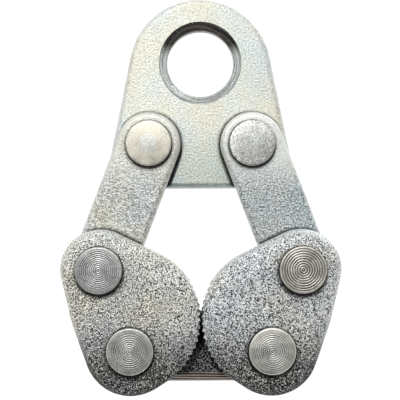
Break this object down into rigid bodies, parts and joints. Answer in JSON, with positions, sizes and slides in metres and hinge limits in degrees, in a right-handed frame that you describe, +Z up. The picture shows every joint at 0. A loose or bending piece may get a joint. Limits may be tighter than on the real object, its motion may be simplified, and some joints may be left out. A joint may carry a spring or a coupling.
{
  "type": "double cam lifting clamp",
  "caption": "Self-gripping lifting clamp: an eye plate pulls hinged links that turn toothed cam jaws about a tie bar, closing their noses on a strip.",
  "frame": {"origin": "middle of the eye bore, halfway through the head plate", "axes": "+Z up along the clamp towards the eye, +X to the right seen from the front, the front faces -Y"},
  "size_m": [0.1186, 0.0415, 0.1703],
  "materials": {
    "plate_zinc": "bright zinc plated",
    "link_zinc": "bright zinc plated",
    "jaw_cast": "zinc plated, grained casting",
    "bar_zinc": "zinc plated, dull",
    "pin_turned": "turned and zinc plated",
    "washer_zinc": "bright zinc plated"
  },
  "bodies": {
    "head": {"eye_plate": "plate_zinc", "left_head_pin": "pin_turned", "right_head_pin": "pin_turned", "left_head_washer": "washer_zinc", "right_head_washer": "washer_zinc"},
    "left_link_arm": {"left_link": "link_zinc", "left_link_pin": "pin_turned", "left_link_washer": "washer_zinc"},
    "left_jaw_arm": {"left_jaw": "jaw_cast", "left_pivot_pin": "pin_turned", "left_pivot_washer": "washer_zinc"},
    "right_link_arm": {"right_link": "link_zinc", "right_link_pin": "pin_turned", "right_link_washer": "washer_zinc"},
    "right_jaw_arm": {"right_jaw": "jaw_cast", "right_pivot_pin": "pin_turned", "right_pivot_washer": "washer_zinc"},
    "tie": {"tie_bar": "bar_zinc"}
  },
  "joints": [
    {"name": "left_link_swing", "type": "hinge", "parent": "head", "child": "left_link_arm", "pos_m": [-0.02215, 0, -0.0354], "axis": [0, 1, 0], "range_deg": [0, 17.5]},
    {"name": "left_jaw_turn", "type": "hinge", "parent": "left_link_arm", "child": "left_jaw_arm", "pos_m": [-0.04253, 0, -0.08885], "axis": [0, -1, 0], "range_deg": [0, 46.9]},
    {"name": "right_link_swing", "type": "hinge", "parent": "head", "child": "right_link_arm", "pos_m": [0.02215, 0, -0.0354], "axis": [0, -1, 0], "range_deg": [0, 17.5]},
    {"name": "right_jaw_turn", "type": "hinge", "parent": "right_link_arm", "child": "right_jaw_arm", "pos_m": [0.04253, 0, -0.08885], "axis": [0, 1, 0], "range_deg": [0, 46.9]},
    {"name": "tie_bar_turn", "type": "hinge", "parent": "left_jaw_arm", "child": "tie", "pos_m": [-0.02965, 0, -0.12257], "axis": [0, 1, 0], "range_deg": [0, 29.4]}
  ],
  "couplings": [
    {"joint": "right_link_swing", "follows": "left_link_swing", "ratio": 1},
    {"joint": "left_jaw_turn", "follows": "left_link_swing", "ratio": 2.679},
    {"joint": "right_jaw_turn", "follows": "left_link_swing", "ratio": 2.679},
    {"joint": "tie_bar_turn", "follows": "left_link_swing", "ratio": 1.679}
  ]
}
